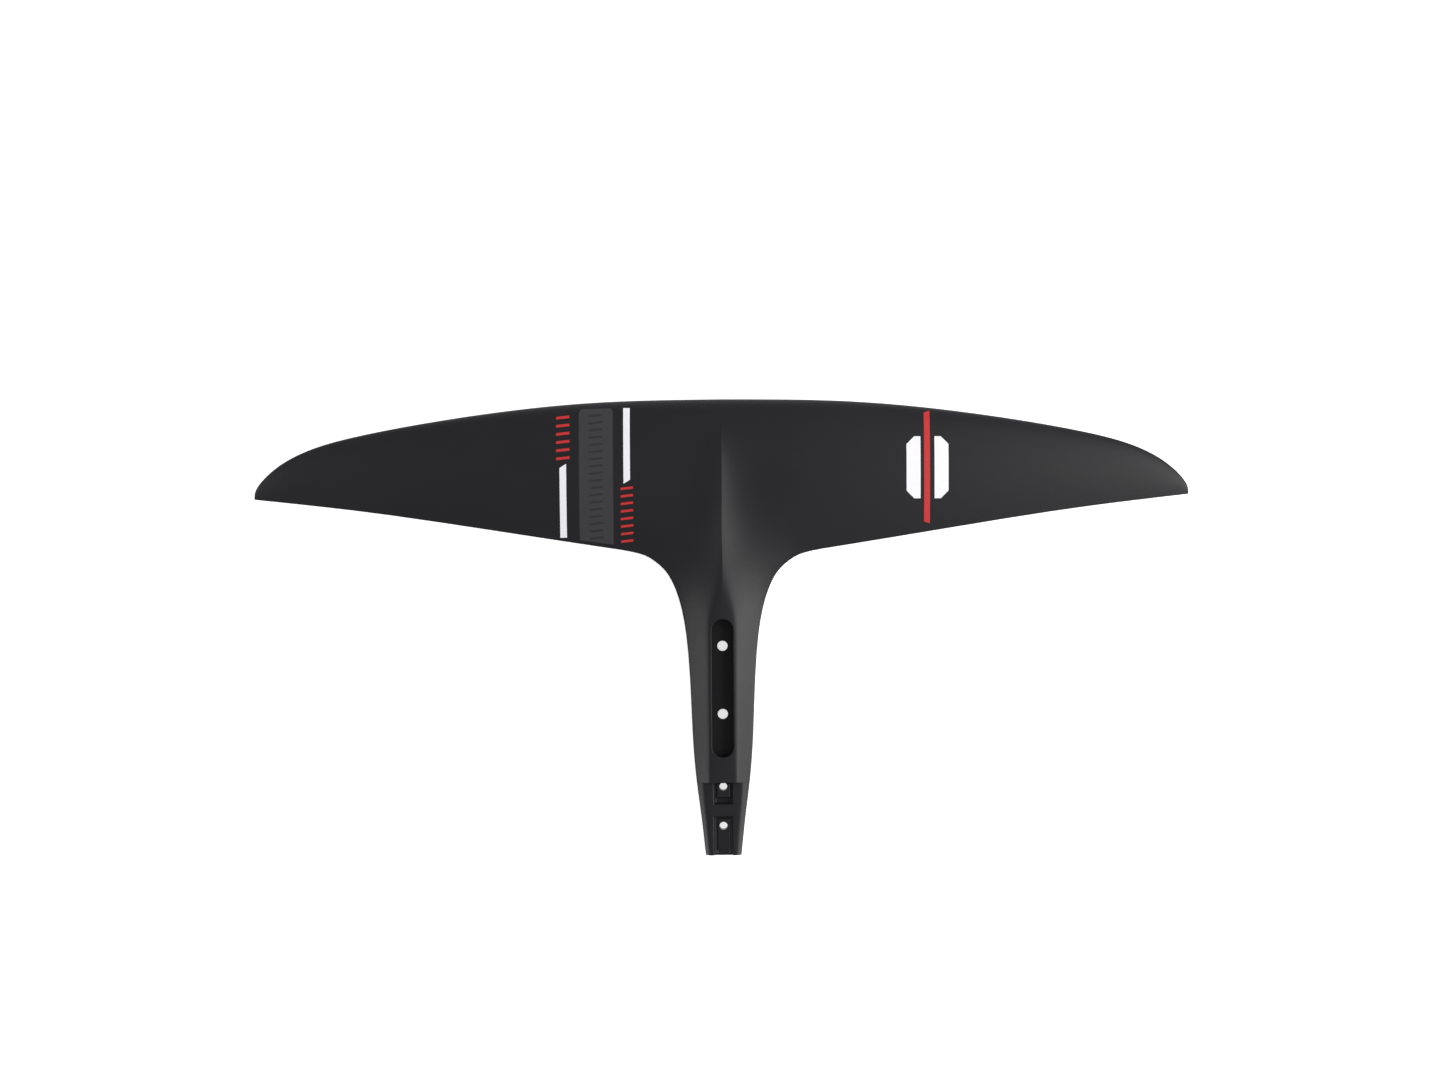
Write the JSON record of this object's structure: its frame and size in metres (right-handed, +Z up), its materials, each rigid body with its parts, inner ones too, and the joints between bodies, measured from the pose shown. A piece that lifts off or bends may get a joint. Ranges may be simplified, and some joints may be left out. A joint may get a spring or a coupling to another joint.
{
  "type": "hydrofoil front wing",
  "caption": "Swept carbon hydrofoil front wing with drooped tips, central ridge and an integral stub holding a deep mast socket and a stepped tail tongue.",
  "frame": {"origin": "midway between the two mast bolt holes, on the floor of the mast socket", "axes": "+X across the span, +Y towards the leading edge, +Z up out of the mast socket"},
  "size_m": [0.805, 0.3902, 0.0309],
  "materials": {
    "carbon_skin": "satin black moulded carbon laminate",
    "foam_core": "structural foam",
    "dense_foam": "high density foam",
    "solid_laminate": "solid carbon and epoxy filling",
    "seat_metal": "dark anodised",
    "white_print": "satin white print",
    "red_print": "satin red print",
    "grey_print": "matt dark grey print",
    "dark_print": "matt near-black print"
  },
  "bodies": {
    "root": {"upper_skin": "carbon_skin", "lower_skin": "carbon_skin", "mast_box": "carbon_skin", "front_core_left": "foam_core", "rear_core_left": "foam_core", "front_core_right": "foam_core", "rear_core_right": "foam_core", "spar_web_left": "solid_laminate", "spar_web_right": "solid_laminate", "nose_block": "dense_foam", "stub_block": "solid_laminate", "tail_block": "solid_laminate", "mast_seat_front": "seat_metal", "mast_seat_rear": "seat_metal", "tail_pad_front": "carbon_skin", "tail_pad_rear": "carbon_skin", "tail_sleeve_front": "seat_metal", "tail_sleeve_rear": "seat_metal", "outer_white_stripe": "white_print", "inner_white_stripe": "white_print", "size_marks": "red_print", "name_marks": "red_print", "panel_marks": "dark_print", "name_panel": "grey_print", "red_bar": "red_print", "emblem_left": "white_print", "emblem_right": "white_print"}
  },
  "joints": []
}
